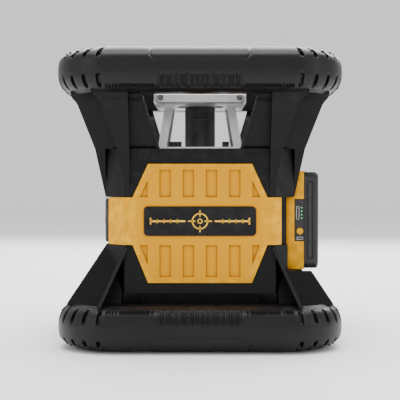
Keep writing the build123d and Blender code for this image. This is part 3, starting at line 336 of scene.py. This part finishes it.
def relief(z, u, along, angle):
    """How far the rubber's skin moves out (+) or in (-) at one place."""
    outside = u > 78.5
    move = 0.0
    t = abs(along) if angle is None else STRAIGHT + RING_CORNER * math.radians(min(angle, 90 - angle))
    if not outside:
        return move
    if t <= RIB_ZONE and z < 203.5 and (t / RIB_PITCH) % 1.0 < 0.45:
        move -= RIB_DEPTH * smooth_window(z, *RIB_SPAN, 0.8)
    if RIB_ZONE + 1.5 < t <= TEETH_END:
        if (t / TEETH_PITCH) % 1.0 < 0.42:
            move -= TEETH_DEPTH * smooth_window(z, *TEETH_SPAN, 0.5)
        move += RIDGE_RISE * smooth_window(z, *RIDGE_SPAN, 0.4)
    move -= PAD_GROOVE * (in_pad(z, t, 0.8) - in_pad(z, t, -0.8))
    if angle is not None:
        for centre in SLOT_ANGLES:
            for low, high in SLOT_SPANS:
                middle, reach = (low + high) / 2, (high - low) / 2
                half = SLOT_HALF * math.sqrt(max(0.0, 1.0 - (abs(z - middle) / reach) ** 4))
                if half > 0.3 and abs(angle - centre) < half + 0.3:
                    move -= SLOT_DEPTH * smooth_window(angle, centre - half, centre + half, 0.5)
    return move


def stations():
    """Places round the ring: (side, along, None) on a side or (side, 0, angle) in a corner."""
    side_marks = set()
    n = int(RIB_ZONE / RIB_PITCH)
    for k in range(n + 1):
        for f in (0.0, 0.02, 0.43, 0.47):
            side_marks.add(round(min((k + f) * RIB_PITCH, RIB_ZONE), 4))
    k = int(RIB_ZONE / TEETH_PITCH) + 1
    angles = {0.5 * a for a in range(4, 180, 6)}
    while k * TEETH_PITCH < TEETH_END:
        for f in (0.0, 0.03, 0.40, 0.44):
            mark = (k + f) * TEETH_PITCH
            if mark < STRAIGHT:
                side_marks.add(round(mark, 4))
            elif mark < TEETH_END:
                turn = math.degrees((mark - STRAIGHT) / RING_CORNER)
                angles |= {turn, 90.0 - turn}
        k += 1
    side_marks |= {STRAIGHT} | {PAD_HALF + 0.35 * k for k in range(-14, 4)}
    ordered = sorted({-m for m in side_marks} | side_marks)
    for centre in SLOT_ANGLES:
        for offset in (-SLOT_HALF - 0.3, -SLOT_HALF + 0.3, SLOT_HALF - 0.3, SLOT_HALF + 0.3):
            angles.add(centre + offset)
    result = []
    for side in range(4):
        result += [(side, along, None) for along in ordered]
        result += [(side, 0.0, angle) for angle in sorted(angles)]
    return result


def bumper(name, upside_down):
    places = stations()
    verts, faces = [], []
    count = len(section)
    for side, along, angle in places:
        turn = math.radians(90 * side)
        c, s = math.cos(turn), math.sin(turn)
        for (u, z), (nu, nz) in zip(section, NORMALS):
            d = relief(z, u, along, angle)
            uu, zz = u + nu * d, z + nz * d
            if angle is None:
                x, y = along, -uu
            else:
                a = math.radians(angle - 90.0)
                r = uu - STRAIGHT
                x, y = STRAIGHT + r * math.cos(a), -STRAIGHT + r * math.sin(a)
            height = TOTAL - zz if upside_down else zz
            verts.append((c * x - s * y, s * x + c * y, height))
    total = len(places)
    for i in range(total):
        j = (i + 1) % total
        for k in range(count):
            l = (k + 1) % count
            face = (i * count + k, j * count + k, j * count + l, i * count + l)
            faces.append(face[::-1] if upside_down else face)
    return make(name, verts, faces, M["bumper_rubber"], smooth=38)


top_ring = bumper("top_bumper_ribbed", False)
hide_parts("top_bumper")
bottom_ring = bumper("bottom_bumper_ribbed", True)
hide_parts("bottom_bumper")

# ---------------------------------------------------------------- small parts on the faces
def disc_fan(cx, cy, radius, n=24):
    return [(cx + radius * math.cos(2 * math.pi * k / n), cy + radius * math.sin(2 * math.pi * k / n))
            for k in range(n)]


def ring_shape(cx, cy, r_out, r_in, start=0.0, stop=360.0, n=28):
    """An open or closed ring as a list of quads in the plane."""
    quads = []
    for k in range(n):
        a = math.radians(start + (stop - start) * k / n)
        b = math.radians(start + (stop - start) * (k + 1) / n)
        quads.append([(cx + r_in * math.cos(a), cy + r_in * math.sin(a)),
                      (cx + r_out * math.cos(a), cy + r_out * math.sin(a)),
                      (cx + r_out * math.cos(b), cy + r_out * math.sin(b)),
                      (cx + r_in * math.cos(b), cy + r_in * math.sin(b))])
    return quads


def bar(x0, y0, x1, y1, width):
    dx, dy = x1 - x0, y1 - y0
    size = math.hypot(dx, dy)
    px, py = -dy / size * width / 2, dx / size * width / 2
    return [(x0 + px, y0 + py), (x0 - px, y0 - py), (x1 - px, y1 - py), (x1 + px, y1 + py)]


def printed(name, shapes, place, material, body, thickness=0.12):
    """Thin raised print: flat shapes lifted off a face. place maps (a, b, lift) to a point."""
    verts, faces = [], []
    for shape in shapes:
        n = len(shape)
        base = len(verts)
        verts += [place(a, b, 0.0) for a, b in shape] + [place(a, b, thickness) for a, b in shape]
        faces.append(tuple(base + n + k for k in range(n)))
        faces.append(tuple(base + k for k in reversed(range(n))))
        faces += [(base + k, base + (k + 1) % n, base + n + (k + 1) % n, base + n + k)
                  for k in range(n)]
    obj = make(name, verts, faces, material, body)
    bm = bmesh.new()
    bm.from_mesh(obj.data)
    bmesh.ops.recalc_face_normals(bm, faces=bm.faces)
    bm.to_mesh(obj.data)
    bm.free()
    return obj


def emit(name, colour, strength):
    m = Mat(name)
    m.set(Base_Color=colour, Roughness=0.3, Emission_Color=colour, Emission_Strength=strength)
    m.link(m.span(m.noise(400.0), "Fac", 0.22, 0.38), "Result", m.bsdf, "Roughness")
    return m.mat


PRINT_PALE = moulded("print_pale", srgb(186, 186, 188), srgb(200, 200, 202), 0.5, 0.05)
PRINT_YELLOW = moulded("print_yellow", (0.9, 0.42, 0.01, 1.0), (0.95, 0.46, 0.02, 1.0), 0.45, 0.05)
PRINT_GREEN = emit("print_green", (0.15, 0.75, 0.2, 1.0), 0.3)


def edge_mm(node, axis, high):
    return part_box(node)[1 if high else 0][axis] / MM


# badge on the front: a plain cross-hair and a level beam
badge_face = edge_mm("badge_plate", 1, False)
badge_mid = (edge_mm("badge_plate", 2, False) + edge_mm("badge_plate", 2, True)) / 2


def on_badge(a, b, lift):
    return (a, badge_face - lift, badge_mid + b)


mark = ring_shape(0, 0, 6.2, 5.2) + ring_shape(0, 0, 2.0, 1.1)
mark += [bar(0, 3.4, 0, 8.2, 0.9), bar(0, -3.4, 0, -8.2, 0.9)]
for sign in (-1, 1):
    mark += [bar(sign * 3.4, 0, sign * 9.0, 0, 0.9), bar(sign * 11.0, 0, sign * 37.0, 0, 1.3)]
    mark += [bar(sign * 37.0, -2.6, sign * 37.0, 2.6, 1.0)]
    mark += [bar(sign * x, -1.6, sign * x, 1.6, 0.6) for x in (17.0, 22.0, 27.0, 32.0)]
printed("badge_mark", mark, on_badge, PRINT_YELLOW, "root", 0.1)

# gauge panel on the pack's nose
nose_front = -49.4          # front of the pack's nose, which carries the gauge
pack_mid = (edge_mm("pack_cover", 2, False) + edge_mm("pack_cover", 2, True)) / 2
nose_mid = (edge_mm("gauge_button", 0, False) + edge_mm("gauge_button", 0, True)) / 2


def on_nose(a, b, lift):
    return (nose_mid + a, nose_front - lift, pack_mid + b)


printed("gauge_lights", [disc_fan(1.4, b, 0.55, 14) for b in (1.5, 4.2, 6.9, 9.6)], on_nose,
        PRINT_GREEN, "pack", 0.15)
icon = [bar(-2.2, -13.2, 2.2, -13.2, 0.4), bar(-2.2, -15.0, 2.2, -15.0, 0.4),
        bar(-2.2, -15.2, -2.2, -13.0, 0.4), bar(2.2, -15.2, 2.2, -13.0, 0.4),
        bar(2.5, -14.5, 2.5, -13.7, 0.4)]
icon += [bar(-2.6, 0.6, -2.6, 10.5, 0.35), bar(-0.6, 0.6, -0.6, 10.5, 0.35),
         bar(-2.7, 0.6, -0.5, 0.6, 0.35), bar(-2.7, 10.5, -0.5, 10.5, 0.35)]
printed("gauge_icons", icon, on_nose, PRINT_PALE, "pack", 0.1)

# key marks
def on_key(node):
    low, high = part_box(node)
    face = low[0] / MM
    along, up = (low[1] + high[1]) / 2 / MM, (low[2] + high[2]) / 2 / MM
    return lambda a, b, lift: (face - lift, along - a, up + b)


key_marks = {
    "power_button": ring_shape(0, 0, 3.0, 2.3, 125, 415) + [bar(0, 0.6, 0, 3.6, 0.7)],
    "speed_button": ring_shape(0, 0, 2.4, 1.9, 20, 340) + [bar(0, 0, 1.3, 1.3, 0.5)],
    "scan_button": [bar(-2.4, 0, 2.4, 0, 0.5), bar(-2.4, -1.3, -2.4, 1.3, 0.5),
                    bar(2.4, -1.3, 2.4, 1.3, 0.5)],
    "slope_button": [bar(-2.2, -1.3, 2.2, -1.3, 0.5), bar(-2.2, -1.3, 2.0, 1.3, 0.5)],
    "arrow_left_button": [[(-2.2, 0), (1.4, -2.0), (1.4, 2.0)]],
    "arrow_right_button": [[(2.2, 0), (-1.4, 2.0), (-1.4, -2.0)]],
}
for key, shapes in key_marks.items():
    printed(key.replace("button", "mark"), shapes, on_key(key), PRINT_PALE, key, 0.08)


def screw_head(name, place, radius, body, material, depth=1.2):
    """A domed cross-slot screw head. place maps (a, b, lift) to a point."""
    rings = [(0.0, 0.55), (0.45, 0.5), (0.78, 0.38), (0.95, 0.2), (1.0, 0.0), (1.0, -0.8)]
    n = 32
    verts, faces = [], []
    for share, lift in rings:
        for k in range(n):
            a = 2 * math.pi * k / n
            r = max(share, 0.02) * radius
            x, y = r * math.cos(a), r * math.sin(a)
            cross = share < 0.7 and (abs(x) < 0.16 * radius or abs(y) < 0.16 * radius)
            verts.append(place(x, y, (lift - (0.55 if cross else 0.0)) * depth))
    for i in range(len(rings) - 1):
        for k in range(n):
            l = (k + 1) % n
            faces.append((i * n + k, (i + 1) * n + k, (i + 1) * n + l, i * n + l))
    faces.append(tuple(range(n))[::-1])
    return make(name, verts, faces, material, body, smooth=35)


head_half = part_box("lighthouse_frame")[1][0] / MM
for side in range(4):
    turn = math.radians(90 * side)
    for where in (-31.0, 31.0):
        def place(a, b, lift, t=turn, w=where):
            x, y = w + a, -(head_half - 2.6 + lift)
            return (x * math.cos(t) - y * math.sin(t), x * math.sin(t) + y * math.cos(t), 191.2 + b)
        screw_head(f"head_screw_{side}_{'l' if where < 0 else 'r'}", place, 2.0, "root",
                   M["screw_steel"])

# ---------------------------------------------------------------- studio
floor_mesh = bpy.data.meshes.new("floor")
floor_mesh.from_pydata([(-6, -6, 0), (6, -6, 0), (6, 6, 0), (-6, 6, 0)], [], [(0, 1, 2, 3)])
floor = bpy.data.objects.new("floor", floor_mesh)
bpy.context.scene.collection.objects.link(floor)
pale = Mat("floor_pale")
pale.set(Base_Color=(0.96, 0.96, 0.96, 1.0), Roughness=0.9, Specular_IOR_Level=0.1)
floor_mesh.materials.append(pale.mat)


def area(name, place, aim, size, power, colour=(1, 1, 1)):
    data = bpy.data.lights.new(name, "AREA")
    data.shape = "RECTANGLE"
    data.size, data.size_y = size
    data.energy = power
    data.color = colour
    lamp = bpy.data.objects.new(name, data)
    bpy.context.scene.collection.objects.link(lamp)
    lamp.location = place
    lamp.rotation_euler = (Vector(aim) - Vector(place)).to_track_quat("-Z", "Y").to_euler()
    return lamp


area("top_softbox", (0, -0.1, 1.35), (0, 0, 0.1), (1.3, 1.1), 26)
area("left_softbox", (-1.3, -0.9, 0.65), (0, 0, 0.12), (0.7, 1.1), 4.5)
area("right_softbox", (1.35, -0.7, 0.6), (0, 0, 0.12), (0.6, 1.1), 4)
area("front_fill", (0, -1.7, 0.55), (0, 0, 0.1), (1.5, 0.8), 2)
area("back_rim", (0.2, 1.2, 0.9), (0, 0, 0.15), (1.6, 0.7), 30)
world = bpy.data.worlds.new("studio")
world.use_nodes = True
world.node_tree.nodes["Background"].inputs["Color"].default_value = (1, 1, 1, 1)
world.node_tree.nodes["Background"].inputs["Strength"].default_value = 1.0
bpy.context.scene.world = world

cam_data = bpy.data.cameras.new("camera")
cam_data.sensor_width = 36.0
cam_data.lens = 89.7
cam_data.clip_start = 0.01
camera = bpy.data.objects.new("camera", cam_data)
camera.location = (0.0, -0.820, 0.1187)
camera.rotation_euler = (math.radians(90 - 0.57), 0, 0)
bpy.context.scene.collection.objects.link(camera)
bpy.context.scene.camera = camera
